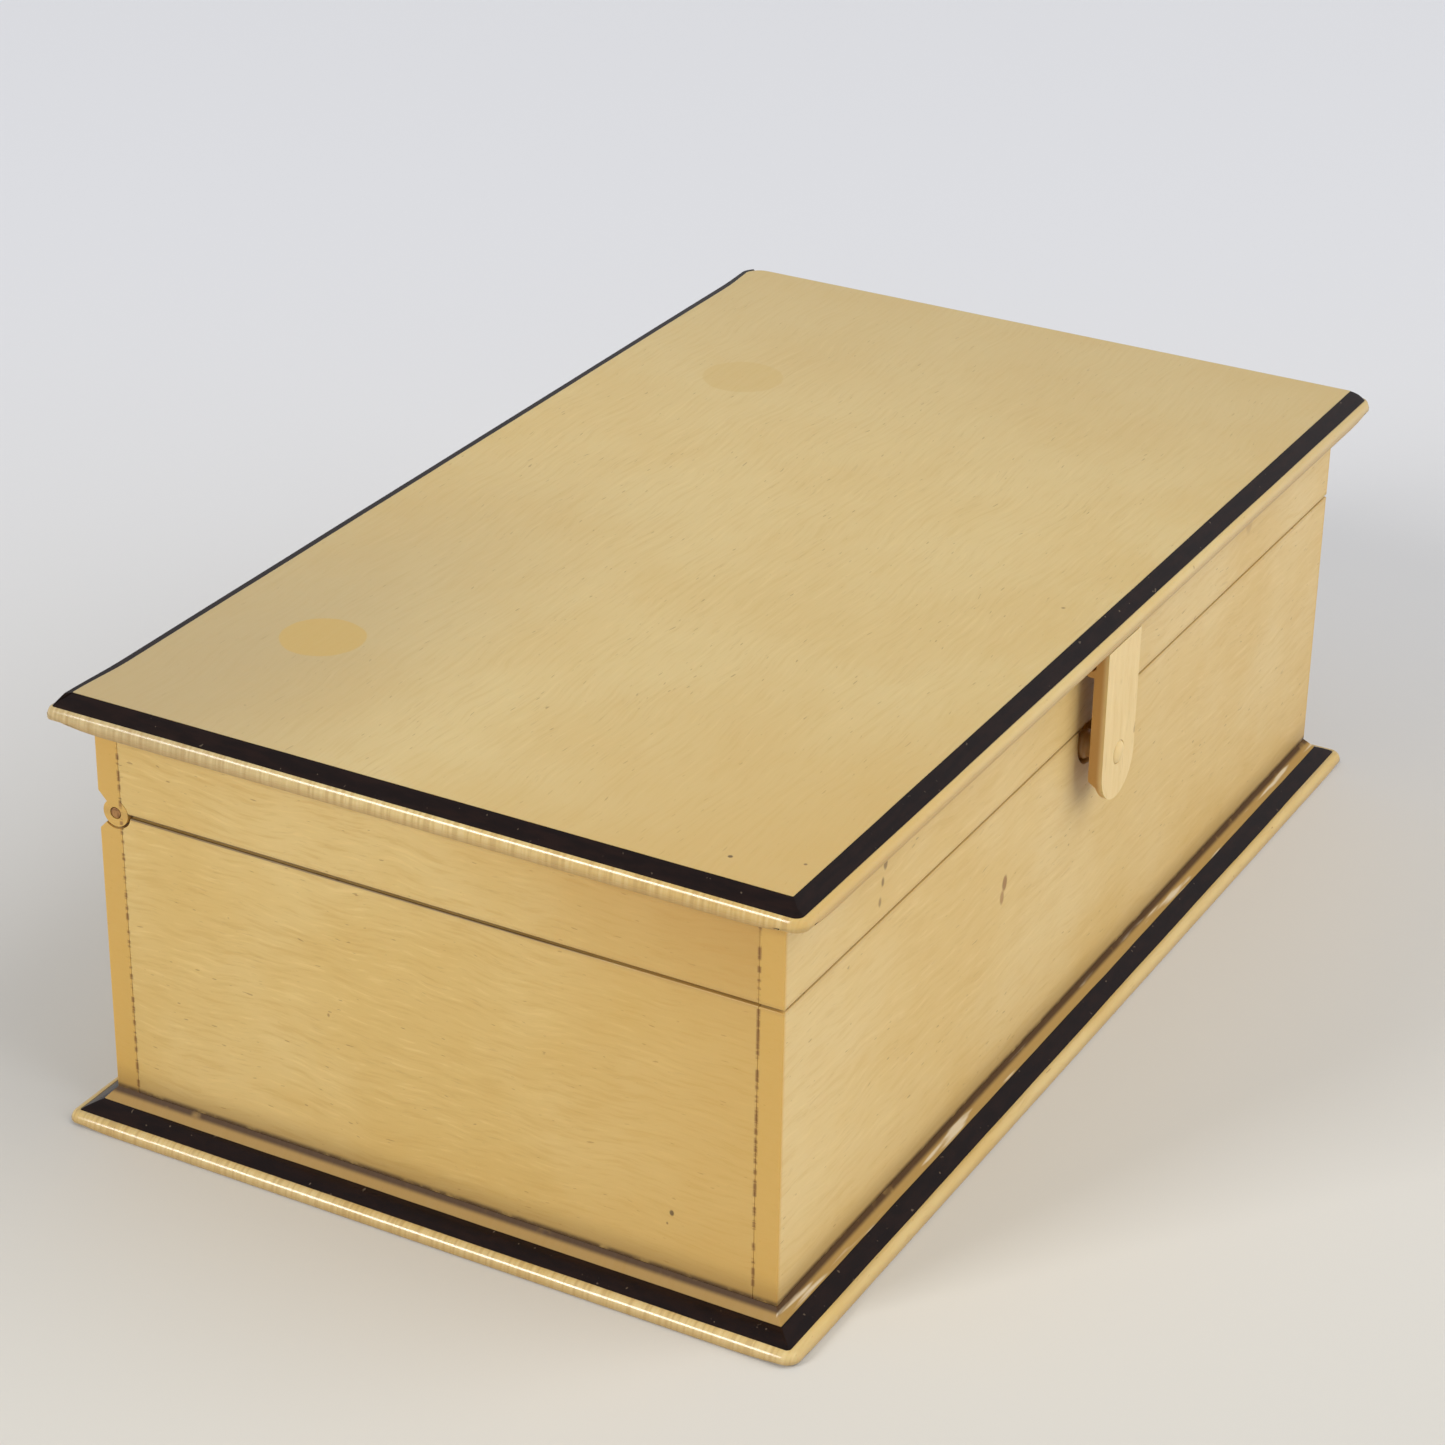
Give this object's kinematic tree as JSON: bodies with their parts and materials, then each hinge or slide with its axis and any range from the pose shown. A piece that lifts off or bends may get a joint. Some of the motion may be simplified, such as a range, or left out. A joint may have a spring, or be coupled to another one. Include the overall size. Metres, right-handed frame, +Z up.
{
  "type": "needle case",
  "caption": "Small rectangular needle case of bone panels with dark inlaid edge bands, a hinged lid and a tongue latch.",
  "frame": {"origin": "centre of the underside of the base plate, on the surface that the case stands on", "axes": "+X along the length to the right seen from the latch side, -Y towards the latch side, +Z up"},
  "size_m": [0.0878, 0.0518, 0.03],
  "materials": {
    "bone_plate": "polished bone, satin gloss, fine lengthwise grain",
    "bone_wall": "polished bone, satin gloss, fine wavy striations",
    "bone_inner": "plain sawn bone, matt",
    "bone_warm": "polished bone, slightly translucent at thin edges",
    "horn": "polished black horn",
    "pin": "dull tarnished wire"
  },
  "bodies": {
    "case_body": {"base_plate": "bone_plate", "base_string_front": "horn", "base_string_right": "horn", "base_string_back": "horn", "base_string_left": "horn", "body_front_panel": "bone_wall", "body_back_panel": "bone_wall", "body_left_panel": "bone_wall", "body_right_panel": "bone_wall", "hinge_pin": "pin", "packet_divider_1": "bone_inner", "packet_divider_2": "bone_inner", "packet_divider_3": "bone_inner"},
    "lid": {"lid_plate": "bone_plate", "lid_string_front": "horn", "lid_string_right": "horn", "lid_string_back": "horn", "lid_string_left": "horn", "lid_front_panel": "bone_wall", "lid_back_panel": "bone_wall", "lid_left_panel": "bone_wall", "lid_right_panel": "bone_wall", "latch_lug": "bone_wall", "latch_pin": "pin"},
    "latch": {"latch_tongue": "bone_warm", "latch_peg": "bone_warm"}
  },
  "joints": [
    {"name": "lid_hinge", "type": "hinge", "parent": "case_body", "child": "lid", "pos_m": [0, 0.0223, 0.022], "axis": [-1, 0, 0], "range_deg": [0, 92]},
    {"name": "latch_pivot", "type": "hinge", "parent": "lid", "child": "latch", "pos_m": [0, -0.02435, 0.027], "axis": [-1, 0, 0], "range_deg": [0, 60]}
  ]
}
